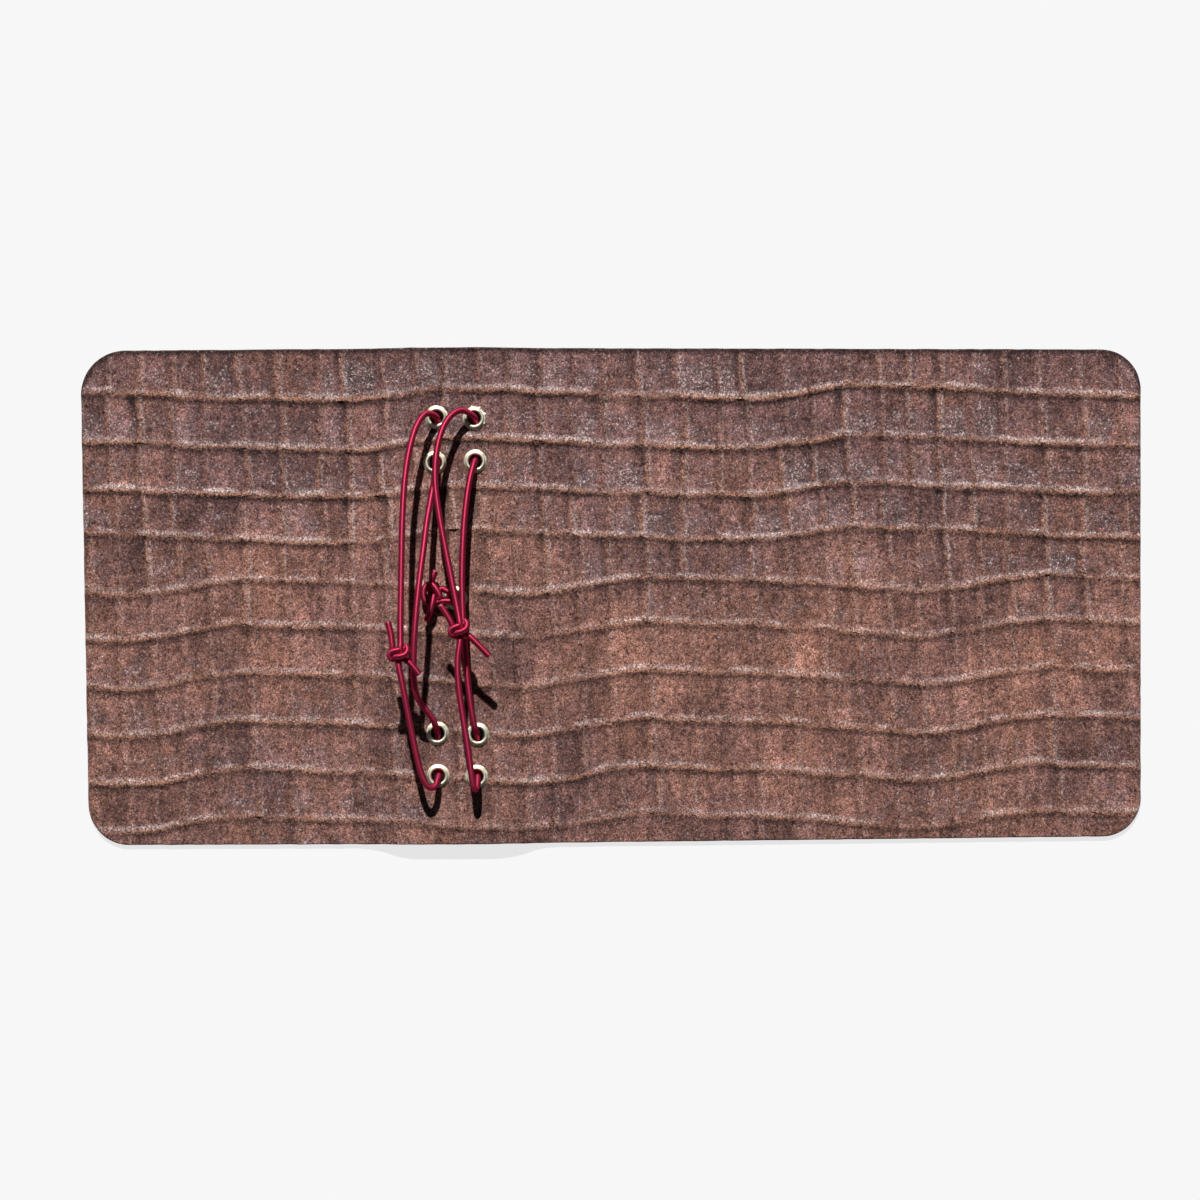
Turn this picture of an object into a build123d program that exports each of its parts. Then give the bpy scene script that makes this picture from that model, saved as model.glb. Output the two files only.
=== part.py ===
from build123d import *
import math
import os

# A wrap-around album cover, open and empty, lying on its outside with its inside up.
# One leather sheet works as five panels between four folds. The spine panel is raised
# so that eyelet heads, outside stitches and the closure loop fit below it.
# Frame: origin on the floor under the middle of the sheet, +X along the sheet, +Z up.

# ---- driving dimensions (mm) ----
leather = 1.8  # thickness of the sheet
sheet_height = 157.2  # across the sheet, along Y
front_width = 106.9
spine_width = 24.0
back_width = 111.0
fore_edge_width = 34.5
flap_width = 58.8
fold_gap = 0.3  # between two panels at a fold
front_slant = 2.8  # the front cover's cut edge leans in by this at the bottom
top_dip = 1.0  # the top edge falls by this at its left end
bottom_lift = 2.9  # the bottom edge rises by this at its right end
spine_lift = 0.4  # and by this at the spine
corner_top_left = 14.0
corner_bottom_left = 13.0
corner_top_right = 12.5
corner_bottom_right = 12.0

spine_rise = 3.5  # the spine's outside above the floor
slope_length = 20.0  # each cover climbs to the spine over this

column_spacing = 12.4  # between the two columns of eyelets
row_inset = 22.1  # outer eyelets from the sheet's top and bottom edges
row_spacing = 13.6  # from the outer eyelets to the inner ones

bore_radius = 2.15
barrel_wall = 0.3
head_radius = 3.5
head_thickness = 0.5
mouth_round = 0.5  # rounding of the bore's outside mouth
rim_radius = 3.15  # rolled rim, on the inside of the cover
rim_straight = 0.35  # straight height of the rolled rim
eyelet_clearance = 0.15  # between barrel and leather, and barrel and washer
washer_radius = 3.75
washer_thickness = 0.45
washer_chamfer = 0.15

cord_diameter = 2.0
knot_length = 7.3
knot_diameter = 5.7
closure_knot_length = 7.5
closure_knot_diameter = 6.2
bend_share = 0.45  # share of the shorter run that a bend takes on each side

# ---- places worked out from them ----
sheet_length = front_width + spine_width + back_width + fore_edge_width + flap_width
left_edge = -sheet_length / 2
right_edge = sheet_length / 2
front_fold = left_edge + front_width
back_fold = front_fold + spine_width
fore_edge_fold = back_fold + back_width
flap_fold = fore_edge_fold + fore_edge_width
spine_middle = (front_fold + back_fold) / 2
spine_top = spine_rise + leather
washer_top = spine_top + washer_thickness
barrel_radius = bore_radius + barrel_wall
hole_radius = barrel_radius + eyelet_clearance
half_gap = fold_gap / 2
outer_row = sheet_height / 2 - row_inset
inner_row = outer_row - row_spacing

# Hand-punched eyelets: column (-1 left, 0 middle, +1 right), row distance, punching error.
eyelets = {
    "left_1": (-1, outer_row, 0.1, 0.0),
    "left_2": (-1, inner_row, -0.4, -0.7),
    "left_3": (-1, -inner_row, 0.4, -0.2),
    "left_4": (-1, -outer_row, 0.6, 0.0),
    "right_1": (1, outer_row, -0.5, -0.3),
    "right_2": (1, inner_row, -0.1, -0.3),
    "right_3": (1, -inner_row, 0.7, -0.6),
    "right_4": (1, -outer_row, 0.3, -0.2),
    "middle": (0, 0.0, -0.1, -0.5),
}


def eyelet_place(name):
    column, row, error_x, error_y = eyelets[name]
    return (spine_middle + column * column_spacing / 2 + error_x, row + error_y)


# ---- cord routes (mm), each from its knot round to its knot again ----
left_knot_place = (-65.5, -17.5, 28.3)
right_knot_place = (-47.0, -10.0, 23.1)
closure_knot_place = (-56.2, 0.8, 8.5)

left_route = [
    (-65.4, -16.5, 28.3),
    (-65.1, -8.0, 28.3),
    (-64.9, 6.5, 27.3),
    (-64.7, 24.0, 25.5),
    (-63.9, 39.5, 22.5),
    (-61.5, 51.6, 18.6),
    (-58.3, 57.7, 13.9),
    (-55.3, 57.1, 9.0),
    (-54.2, 55.4, 1.9),  # outside stitch between the top two eyelets
    (-54.6, 43.2, 1.9),
    (-54.6, 41.6, 8.6),
    (-55.4, 36.0, 11.6),
    (-56.4, 29.6, 14.4),
    (-57.4, 23.4, 18.0),
    (-58.1, 15.4, 22.2),
    (-59.2, 6.7, 25.2),
    (-60.1, -2.6, 27.2),
    (-60.8, -11.4, 26.9),
    (-61.3, -20.0, 24.2),
    (-61.3, -27.6, 20.8),
    (-60.3, -32.0, 17.8),
    (-57.4, -35.8, 14.2),
    (-55.3, -39.0, 11.6),
    (-54.7, -42.0, 8.6),
    (-54.5, -43.2, 1.9),  # outside stitch between the bottom two eyelets
    (-54.0, -55.9, 1.9),
    (-54.3, -57.3, 7.6),
    (-55.0, -60.0, 10.9),
    (-57.1, -60.0, 14.1),
    (-59.0, -56.2, 16.5),
    (-60.6, -49.5, 18.9),
    (-62.4, -39.5, 22.9),
    (-64.3, -28.5, 27.0),
    (-65.5, -19.0, 28.2),
]

right_route = [
    (-47.2, -9.0, 23.1),
    (-48.3, -0.5, 23.0),
    (-50.8, 12.0, 22.6),
    (-53.2, 24.0, 22.0),
    (-54.9, 36.0, 20.9),
    (-54.3, 46.5, 19.2),
    (-51.8, 54.8, 16.3),
    (-47.5, 59.0, 11.9),
    (-43.6, 57.4, 8.2),
    (-42.2, 55.1, 1.9),  # outside stitch between the top two eyelets
    (-42.4, 43.4, 1.9),
    (-43.0, 42.0, 8.4),
    (-44.7, 34.5, 11.6),
    (-46.0, 22.5, 13.9),
    (-46.6, 6.0, 14.9),
    (-46.1, -9.0, 14.8),
    (-45.1, -22.5, 14.0),
    (-43.9, -34.0, 12.3),
    (-42.5, -42.3, 8.8),
    (-42.0, -43.7, 1.9),  # outside stitch between the bottom two eyelets
    (-41.9, -56.2, 1.9),
    (-41.8, -57.8, 7.6),
    (-41.9, -60.4, 10.8),
    (-42.8, -60.3, 14.4),
    (-43.5, -55.6, 16.9),
    (-44.3, -48.5, 18.3),
    (-45.8, -39.0, 20.0),
    (-47.2, -29.5, 21.7),
    (-47.8, -20.5, 22.7),
    (-47.2, -11.5, 23.1),
]

closure_route = [
    (-56.0, 1.6, 8.9),
    (-48.8, 0.55, 8.9),
    (-48.8, 0.55, 1.45),  # down through the middle eyelet
    (-50.6, 5.2, 1.45),
    (-54.0, 13.6, 1.45),
    (-55.8, 25.0, 1.45),
    (-55.6, 37.0, 1.45),
    (-41.6, 37.0, 1.45),
    (-41.5, 20.0, 1.45),
    (-41.9, 0.0, 1.45),
    (-41.4, -19.0, 1.45),
    (-41.7, -37.3, 1.45),
    (-55.8, -37.3, 1.45),
    (-56.0, -25.0, 1.45),
    (-54.2, -14.3, 1.45),
    (-50.7, -6.2, 1.45),
    (-48.8, -1.55, 1.45),  # and up again beside itself
    (-48.8, -1.55, 8.9),
    (-56.0, -0.9, 8.9),
]

left_tails = [
    [left_knot_place, (-67.9, -12.5, 28.6), (-69.4, -7.9, 28.7)],
    [left_knot_place, (-61.9, -20.8, 27.4), (-59.4, -24.2, 26.3)],
]
right_tails = [
    [right_knot_place, (-49.9, -6.7, 23.6), (-52.7, -2.5, 24.6)],
    [right_knot_place, (-42.2, -13.4, 22.3), (-37.7, -18.6, 21.6)],
]
closure_tails = [
    [closure_knot_place, (-57.0, 4.4, 9.4), (-55.1, 7.8, 9.9)],
    [closure_knot_place, (-56.4, -4.1, 9.7), (-58.1, -7.6, 9.0)],
]


# ---- the leather sheet ----
top_left = (left_edge, sheet_height / 2 - top_dip)
top_right = (right_edge, sheet_height / 2 - top_dip / 2)
bottom_right = (right_edge, -sheet_height / 2 + bottom_lift)
bottom_left = (left_edge + front_slant, -sheet_height / 2)
corner_radii = {
    top_left: corner_top_left,
    top_right: corner_top_right,
    bottom_right: corner_bottom_right,
    bottom_left: corner_bottom_left,
}

with BuildPart() as sheet_outline:
    with BuildSketch():
        with BuildLine():
            Polyline(
                top_left,
                (spine_middle, sheet_height / 2),
                top_right,
                bottom_right,
                (spine_middle, -sheet_height / 2 + spine_lift),
                bottom_left,
                close=True,
            )
        make_face()
        for corner, radius in corner_radii.items():
            fillet(vertices().sort_by_distance(corner)[0], radius)
    extrude(amount=spine_top + leather)


def flat_panel(x_start, x_end, bottom):
    """A panel of the sheet between two x values, flat at one height."""
    with BuildPart() as panel:
        with BuildSketch(Plane.XZ.offset(-sheet_height)):
            with BuildLine():
                Polyline(
                    (x_start, bottom),
                    (x_end, bottom),
                    (x_end, bottom + leather),
                    (x_start, bottom + leather),
                    close=True,
                )
            make_face()
        extrude(amount=2 * sheet_height)
        add(sheet_outline.part, mode=Mode.INTERSECT)
    return panel.part


def climbing_panel(x_far, x_fold):
    """A cover that lies on the floor and climbs to the spine's height in an S at its fold."""
    toward = 1 if x_fold > x_far else -1
    foot = x_fold - toward * slope_length
    middle = x_fold - toward * slope_length / 2
    with BuildPart() as panel:
        with BuildSketch(Plane.XZ.offset(-sheet_height)):
            with BuildLine():
                Line((x_far, 0), (foot, 0))
                TangentArc((foot, 0), (middle, spine_rise / 2), tangent=(toward, 0))
                TangentArc((x_fold, spine_rise), (middle, spine_rise / 2), tangent=(-toward, 0))
                Line((x_fold, spine_rise), (x_fold, spine_top))
                TangentArc((x_fold, spine_top), (middle, spine_rise / 2 + leather), tangent=(-toward, 0))
                TangentArc((foot, leather), (middle, spine_rise / 2 + leather), tangent=(toward, 0))
                Line((foot, leather), (x_far, leather))
                Line((x_far, leather), (x_far, 0))
            make_face()
        extrude(amount=2 * sheet_height)
        add(sheet_outline.part, mode=Mode.INTERSECT)
    return panel.part


front_cover = climbing_panel(left_edge, front_fold - half_gap)
back_cover = climbing_panel(fore_edge_fold - half_gap, back_fold + half_gap)
fore_edge = flat_panel(fore_edge_fold + half_gap, flap_fold - half_gap, 0)
flap = flat_panel(flap_fold + half_gap, right_edge, 0)

spine_panel = flat_panel(front_fold + half_gap, back_fold - half_gap, spine_rise)
with BuildPart() as spine:
    add(spine_panel)
    with Locations(*[(*eyelet_place(name), spine_rise) for name in eyelets]):
        Cylinder(hole_radius, leather, align=(Align.CENTER, Align.CENTER, Align.MIN), mode=Mode.SUBTRACT)


# ---- eyelets and washers ----
def make_eyelet(x, y):
    """Head outside below the leather, barrel through it, rim rolled over a washer inside."""
    head_bottom = spine_rise - head_thickness
    rim_shoulder = washer_top + rim_straight
    rim_half = (rim_radius - bore_radius) / 2
    mouth_top = (bore_radius, head_bottom + mouth_round)
    mouth_edge = (bore_radius + mouth_round, head_bottom)
    head_edge = (head_radius - head_thickness / 2, head_bottom)
    rim_outside = (rim_radius, rim_shoulder)
    rim_crest = (bore_radius + rim_half, rim_shoulder + rim_half)
    rim_inside = (bore_radius, rim_shoulder)
    with BuildPart() as eyelet:
        with BuildSketch(Plane(origin=(x, y, 0), x_dir=(1, 0, 0), z_dir=(0, -1, 0))):
            with BuildLine():
                Line(rim_inside, mouth_top)
                RadiusArc(mouth_top, mouth_edge, mouth_round)
                Polyline(
                    mouth_edge,
                    head_edge,
                    (head_radius, spine_rise),
                    (barrel_radius, spine_rise),
                    (barrel_radius, washer_top),
                    (rim_radius, washer_top),
                    rim_outside,
                )
                ThreePointArc(rim_outside, rim_crest, rim_inside)
            make_face()
        revolve(axis=Axis((x, y, 0), (0, 0, 1)))
    return eyelet.part


def make_washer(x, y):
    with BuildPart() as washer:
        with BuildSketch(Plane.XY.offset(spine_top)):
            with Locations((x, y)):
                Circle(washer_radius)
                Circle(hole_radius, mode=Mode.SUBTRACT)
        extrude(amount=washer_thickness)
        chamfer(edges().group_by(Axis.Z)[-1].sort_by(SortBy.LENGTH)[-1], washer_chamfer)
    return washer.part


# ---- cords and knots ----
def bend_radii(route):
    """The largest bend that the runs on each side of every inner point allow."""
    radii = []
    points = [Vector(*point) for point in route]
    for before, corner, after in zip(points, points[1:], points[2:]):
        run_in = corner - before
        run_out = after - corner
        shorter = min(run_in.length, run_out.length)
        half_turn = math.radians(run_in.get_angle(run_out) / 2)
        radii.append(bend_share * shorter / math.tan(half_turn))
    return radii


def make_tube(label, route):
    """A plain round tube: straight runs joined by tangent arcs."""
    radii = bend_radii(route)
    with BuildPart() as tube:
        with BuildLine():
            path = FilletPolyline(*route, radius=radii)
        with BuildSketch(Plane(origin=path @ 0, z_dir=path % 0)):
            Circle(cord_diameter / 2)
        sweep()
    expected = math.pi * cord_diameter**2 / 4 * path.length
    print(label, "length", round(path.length, 1))
    print(label, "volume over section times length", round(tube.part.volume / expected, 4))
    print(label, "radii", [round(radius, 1) for radius in radii])
    return tube.part


def make_knot(place, length, diameter, along):
    """The outer shape of a tied knot, long along one direction on the level."""
    with BuildPart() as knot:
        with BuildSketch(Plane(origin=place, x_dir=along, z_dir=(-along[1], along[0], 0))):
            Ellipse(length / 2, diameter / 2)
            split(bisect_by=Plane.XZ)
        revolve(axis=Axis(place, along))
    return knot.part


def make_cord(label, route, tails, knot):
    """One cord: its run round the album and its two tails, all cut where the knot begins."""
    run = make_tube(label, route)
    ends = [make_tube(label + " tail", tail) for tail in tails]
    with BuildPart() as cord:
        add(run)
        add(knot, mode=Mode.SUBTRACT)
    pieces = [cord.part]
    for end in ends:
        with BuildPart() as cut_end:
            add(end)
            add(knot, mode=Mode.SUBTRACT)
        pieces.append(cut_end.part)
    return Compound(children=[solid for piece in pieces for solid in piece.solids()])


left_knot = make_knot(left_knot_place, knot_length, knot_diameter, (1, 0, 0))
right_knot = make_knot(right_knot_place, knot_length, knot_diameter, (1, 0, 0))
closure_knot = make_knot(closure_knot_place, closure_knot_length, closure_knot_diameter, (0, 1, 0))

nodes = {
    "front_cover": front_cover,
    "spine": spine.part,
    "back_cover": back_cover,
    "fore_edge": fore_edge,
    "flap": flap,
    "left_knot": left_knot,
    "right_knot": right_knot,
    "closure_knot": closure_knot,
    "left_binding_cord": make_cord("left cord", left_route, left_tails, left_knot),
    "right_binding_cord": make_cord("right cord", right_route, right_tails, right_knot),
    "closure_cord": make_cord("closure cord", closure_route, closure_tails, closure_knot),
}
for name in eyelets:
    nodes["eyelet_" + name] = make_eyelet(*eyelet_place(name))
    nodes["washer_" + name] = make_washer(*eyelet_place(name))

os.makedirs("parts", exist_ok=True)
for name, piece in nodes.items():
    piece.label = name
    export_step(piece, f"parts/{name}.step")
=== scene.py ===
import math

import bpy
import numpy as np
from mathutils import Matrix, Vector


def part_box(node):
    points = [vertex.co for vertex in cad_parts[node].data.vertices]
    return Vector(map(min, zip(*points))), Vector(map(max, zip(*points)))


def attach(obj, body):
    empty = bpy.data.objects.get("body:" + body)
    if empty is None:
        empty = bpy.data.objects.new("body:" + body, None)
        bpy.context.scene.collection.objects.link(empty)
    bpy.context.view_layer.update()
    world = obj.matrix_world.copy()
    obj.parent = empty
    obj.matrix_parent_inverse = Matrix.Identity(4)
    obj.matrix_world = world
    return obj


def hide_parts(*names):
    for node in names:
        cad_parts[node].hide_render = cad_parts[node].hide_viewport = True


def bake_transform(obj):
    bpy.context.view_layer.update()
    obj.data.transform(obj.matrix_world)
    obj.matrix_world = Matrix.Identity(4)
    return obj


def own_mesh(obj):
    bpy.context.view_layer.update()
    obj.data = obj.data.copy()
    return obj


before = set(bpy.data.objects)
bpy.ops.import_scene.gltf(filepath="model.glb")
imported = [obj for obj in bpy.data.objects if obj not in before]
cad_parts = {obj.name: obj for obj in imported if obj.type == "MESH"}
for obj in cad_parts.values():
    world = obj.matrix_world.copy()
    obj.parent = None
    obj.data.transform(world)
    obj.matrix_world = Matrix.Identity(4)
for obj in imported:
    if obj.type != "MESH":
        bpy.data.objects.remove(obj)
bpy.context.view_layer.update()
print("frame loaded")


def deselectAll():
    bpy.ops.object.select_all(action="DESELECT")


def pickOnly(piece):
    deselectAll()
    piece.select_set(True)
    bpy.context.view_layer.objects.active = piece


def readPoints(mesh):
    flat = np.empty(len(mesh.vertices) * 3)
    mesh.vertices.foreach_get("co", flat)
    return flat.reshape(-1, 3)


def writePoints(mesh, points):
    mesh.vertices.foreach_set("co", np.asarray(points, dtype=np.float32).ravel())
    mesh.update()


def easeStep(value, low, high):
    share = np.clip((value - low) / (high - low), 0, 1)
    return share * share * (3 - 2 * share)


def hump(off, width):  # 1 on a line, falling away to both sides of it
    return np.exp(-((off / width) ** 2))


def patches(x, y, size, seed):  # soft random patches from -1 to 1, the same in every run
    cells = 512
    lattice = np.random.default_rng(seed).uniform(-1, 1, (cells, cells))
    across = x / size + 1000
    up = y / size + 1000
    column = np.floor(across).astype(int)
    row = np.floor(up).astype(int)
    across = across - column
    up = up - row
    across = across * across * (3 - 2 * across)
    up = up * up * (3 - 2 * up)
    left, right = column % cells, (column + 1) % cells
    below, above = row % cells, (row + 1) % cells
    low = lattice[left, below] * (1 - across) + lattice[right, below] * across
    high = lattice[left, above] * (1 - across) + lattice[right, above] * across
    return low * (1 - up) + high * up


def middleBetween(first, second):
    return (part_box(first)[1][0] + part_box(second)[0][0]) / 2


# places that everything is worked out from, all read from the frame
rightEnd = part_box("flap")[1][0]
leftEnd = -rightEnd
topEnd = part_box("spine")[1][1]
frontFold = middleBetween("front_cover", "spine")
backFold = middleBetween("spine", "back_cover")
spineMiddle = (frontFold + backFold) / 2
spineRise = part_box("spine")[0][2]
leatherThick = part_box("flap")[1][2]
eyeletNames = [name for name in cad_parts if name.startswith("eyelet_")]


def eyeletPlace(name):
    low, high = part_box(name)
    return np.array([(low[0] + high[0]) / 2, (low[1] + high[1]) / 2])


cameraSet = {
    "overX": -0.0033,
    "overY": -0.0011,
    "height": 1.300,
    "seenWidth": 0.3792,  # what the camera takes in at the leather's level
    "sensor": 36,
}


def addCamera(s):  # straight above the open cover
    bpy.ops.object.camera_add(location=(s["overX"], s["overY"], s["height"]), rotation=(0, 0, 0))
    camera = bpy.context.object
    camera.name = "camera"
    camera.data.sensor_width = s["sensor"]
    camera.data.lens = s["sensor"] * (s["height"] - leatherThick) / s["seenWidth"]
    camera.data.clip_start = 0.01
    camera.data.clip_end = 20
    bpy.context.scene.camera = camera


addCamera(cameraSet)
print("camera placed")


def newMaterial(name):
    material = bpy.data.materials.new(name)
    material.use_nodes = True
    tree = material.node_tree
    return material, tree, tree.nodes["Principled BSDF"]


def feed(tree, socket, value):  # a socket is linked, anything else is set
    if isinstance(value, bpy.types.NodeSocket):
        tree.links.new(value, socket)
    elif isinstance(value, tuple) and len(value) == 3 and socket.type == "RGBA":
        socket.default_value = (*value, 1)
    else:
        socket.default_value = value


def objectPlace(tree):
    return tree.nodes.new("ShaderNodeTexCoord").outputs["Object"]


def partsOf(tree, vector):
    node = tree.nodes.new("ShaderNodeSeparateXYZ")
    feed(tree, node.inputs[0], vector)
    return node.outputs["X"], node.outputs["Y"]


def stretched(tree, place, scale):
    node = tree.nodes.new("ShaderNodeMapping")
    feed(tree, node.inputs["Vector"], place)
    node.inputs["Scale"].default_value = scale
    return node.outputs["Vector"]


def noise(tree, place, scale, detail=2.0, roughness=0.5):
    node = tree.nodes.new("ShaderNodeTexNoise")
    feed(tree, node.inputs["Vector"], place)
    node.inputs["Scale"].default_value = scale
    node.inputs["Detail"].default_value = detail
    node.inputs["Roughness"].default_value = roughness
    return node.outputs["Fac"]


def spread(tree, value, low, high, toLow=0.0, toHigh=1.0):
    node = tree.nodes.new("ShaderNodeMapRange")
    feed(tree, node.inputs["Value"], value)
    for socket, number in zip(("From Min", "From Max", "To Min", "To Max"), (low, high, toLow, toHigh)):
        node.inputs[socket].default_value = number
    return node.outputs["Result"]


def smoothPulse(tree, value, centre, width):  # 1 at the centre, fading to 0 at the width
    node = tree.nodes.new("ShaderNodeMapRange")
    node.interpolation_type = "SMOOTHSTEP"
    off = sums(tree, "ABSOLUTE", sums(tree, "SUBTRACT", value, centre))
    feed(tree, node.inputs["Value"], off)
    node.inputs["From Min"].default_value = width
    node.inputs["From Max"].default_value = 0.0
    return node.outputs["Result"]


def sums(tree, kind, first, second=0.0):
    node = tree.nodes.new("ShaderNodeMath")
    node.operation = kind
    feed(tree, node.inputs[0], first)
    feed(tree, node.inputs[1], second)
    return node.outputs["Value"]


def products(tree, *values):
    result = values[0]
    for value in values[1:]:
        result = sums(tree, "MULTIPLY", result, value)
    return result


def tinted(tree, share, first, second, mode="MIX"):
    node = tree.nodes.new("ShaderNodeMix")
    node.data_type = "RGBA"
    node.blend_type = mode
    feed(tree, node.inputs[0], share)
    feed(tree, node.inputs[6], first)
    feed(tree, node.inputs[7], second)
    return node.outputs[2]


def shadedBy(tree, color, value, low, high, darkest, lightest):
    return tinted(tree, 1.0, color, spread(tree, value, low, high, darkest, lightest), "MULTIPLY")


def bumped(tree, shader, height, depth, strength=1.0, under=None):
    node = tree.nodes.new("ShaderNodeBump")
    node.inputs["Distance"].default_value = depth
    node.inputs["Strength"].default_value = strength
    feed(tree, node.inputs["Height"], height)
    if under:
        feed(tree, node.inputs["Normal"], under)
    feed(tree, shader.inputs["Normal"], node.outputs["Normal"])
    return node.outputs["Normal"]


def surfaceValue(tree, name):
    node = tree.nodes.new("ShaderNodeAttribute")
    node.attribute_name = name
    return node.outputs["Fac"]


suedeSet = {
    "cool": (0.190, 0.098, 0.093),
    "warm": (0.284, 0.135, 0.101),
    "crest": (0.400, 0.200, 0.134),  # rubbed fibres on top of a ridge
    "sheen": (0.560, 0.440, 0.415),  # painted sheen: a highlight painted on the polished slope above a ridge, where it faces the light
    # painted shade, for the creases and dark sides of the ridges and along the cut edges
    "hollow": (0.045, 0.026, 0.028),
    # painted highlight, for pale lines along the ridges and glints in the nap
    "pale": (0.600, 0.510, 0.500),
    "rust": (0.400, 0.180, 0.095),
    # painted shade in the nap's small pits
    "pit": (0.030, 0.016, 0.016),
    "roughness": (0.85, 0.42),  # dull, and where it is polished
    "specular": (0.12, 0.55),
    "rowStep": 0.0145,  # usual distance between two long ridges
    "columnStep": 0.0105,
    "rowFray": 0.00055,
    "columnFray": 0.0004,
    "noises": {  # stretch, scale, detail and roughness, from broad to fine
        "broad": ((1.0, 1.0, 1.0), 22, 3, 0.6),
        "patch": ((1.0, 1.0, 1.0), 130, 3, 0.6),
        "streak": ((1.0, 0.16, 1.0), 420, 3, 0.6),
        "clump": ((1.0, 1.0, 1.0), 420, 2, 0.6),
        "fuzz": ((1.0, 0.75, 1.0), 1050, 2, 0.7),
        "fleck": ((1.1, 0.9, 1.0), 1500, 2, 0.6),
        "fibre": ((1.0, 1.0, 1.0), 2300, 2, 0.75),
    },
    "tones": {"broad": (0.80, 1.22), "patch": (0.72, 1.28), "streak": (0.78, 1.22), "clump": (0.68, 1.32)},
    # lines along a ridge: centre and width across it, share, colour, and what breaks them up
    "longLines": (
        # painted highlight on the slope above the ridge
        (0.0012, 0.0014, 0.80, "sheen", ("polished", "glint")),
        (0.0002, 0.0013, 1.0, "crest", ("frayed",)),
        # a thin painted highlight just above the crest
        (0.0013, 0.0009, 0.75, "pale", ("broken", "polished", "glint")),
        # painted shade below the ridge: a soft wide band, then a dark crease
        (-0.0020, 0.0018, 0.20, "hollow", ()),
        (-0.00110, 0.00085, 0.74, "hollow", ("broken",)),
    ),
    "crossLines": (
        # painted shade on the dark side of a cross ridge, strongest under the ridge above
        (-0.0014, 0.0024, 1.0, "hollow", ("lowShade", "deeper")),
        (0.0007, 0.0014, 0.85, "crest", ("broken",)),
        # a thin painted highlight beside the crest
        (0.0014, 0.0008, 0.42, "pale", ("glint",)),
        # painted shade in the cross ridge's crease
        (-0.0005, 0.0009, 1.0, "hollow", ("lowShade", "deeper", "broken")),
    ),
    "raised": (0.0006, 0.0011),  # a cross ridge's finest relief
    "sunk": (-0.0005, 0.0009),
    "ridgeDepth": 0.00030,
    "fuzzDepth": 0.00034,
    "fibreDepth": 0.00017,
}


def lineOffset(tree, coordinate, step, fray):  # signed distance from the nearest ridge
    share = sums(tree, "SUBTRACT", sums(tree, "FRACT", sums(tree, "ADD", coordinate, 0.5)), 0.5)
    return sums(tree, "ADD", sums(tree, "MULTIPLY", share, step), fray)


def suedeGrain(tree, place, marks, upper, s):  # the noises, and the shares that break up the ridges' lines
    grain = {}
    for name, (stretch, scale, detail, roughness) in s["noises"].items():
        grain[name] = noise(tree, stretched(tree, place, stretch), scale, detail, roughness)
    grain["broken"] = spread(tree, grain["clump"], 0.35, 0.62, 0.25, 1.0)
    grain["frayed"] = spread(tree, grain["clump"], 0.3, 0.7, 0.55, 0.95)
    grain["polished"] = spread(tree, grain["patch"], 0.38, 0.66, 0.0, 1.0)
    grain["glint"] = spread(tree, grain["fleck"], 0.3, 0.7, 0.3, 1.3)
    up = spread(tree, sums(tree, "FRACT", marks["row"]), 0.20, 0.95, 0.45, 1.0)
    grain["lowShade"] = sums(tree, "MULTIPLY", up, up)
    grain["deeper"] = sums(tree, "ADD", 0.78, sums(tree, "MULTIPLY", upper, 0.65))
    return grain


def suedeGround(tree, grain, marks, upper, s):  # cooler and more polished higher up the sheet
    warmth = sums(tree, "SUBTRACT", spread(tree, grain["broad"], 0.30, 0.70, 0.1, 1.2), upper)
    warmth = sums(tree, "SUBTRACT", warmth, sums(tree, "MULTIPLY", marks["shine"], 0.7))
    color = tinted(tree, spread(tree, warmth, 0, 1), s["cool"], s["warm"])
    color = shadedBy(tree, color, marks["tone"], 0, 1, 0.66, 1.34)
    for name, (darkest, lightest) in s["tones"].items():
        color = shadedBy(tree, color, grain[name], 0.3, 0.7, darkest, lightest)
    return color


def ridgeColors(tree, color, off, power, grain, lines, s):
    for centre, width, share, tone, breaks in lines:
        pulse = smoothPulse(tree, off, centre, width)
        share = products(tree, pulse, power, share, *(grain[name] for name in breaks))
        color = tinted(tree, share, color, s[tone])
    return color


def fibreColors(tree, color, grain, marks, upper, s):  # rusty fuzz, pale flecks painted as glints where it is glossy, and dark pits of painted shade
    color = tinted(tree, spread(tree, grain["fuzz"], 0.56, 0.68, 0, 0.34), color, s["rust"])
    # painted glints: pale flecks, more of them where it is glossy
    glossy = sums(tree, "MULTIPLY", marks["shine"], 0.12)
    glossy = sums(tree, "ADD", glossy, sums(tree, "MULTIPLY", upper, 0.03))
    glintShare = sums(tree, "ADD", sums(tree, "SUBTRACT", grain["fleck"], 0.03), glossy)
    color = tinted(tree, spread(tree, glintShare, 0.64, 0.78, 0, 0.60), color, s["pale"])
    color = shadedBy(tree, color, grain["fleck"], 0.35, 0.65, 0.60, 1.40)
    color = shadedBy(tree, color, grain["fibre"], 0.32, 0.68, 0.22, 1.78)
    # painted shade in the nap's pits
    return tinted(tree, spread(tree, grain["fuzz"], 0.43, 0.33, 0, 0.76), color, s["pit"])


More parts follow.
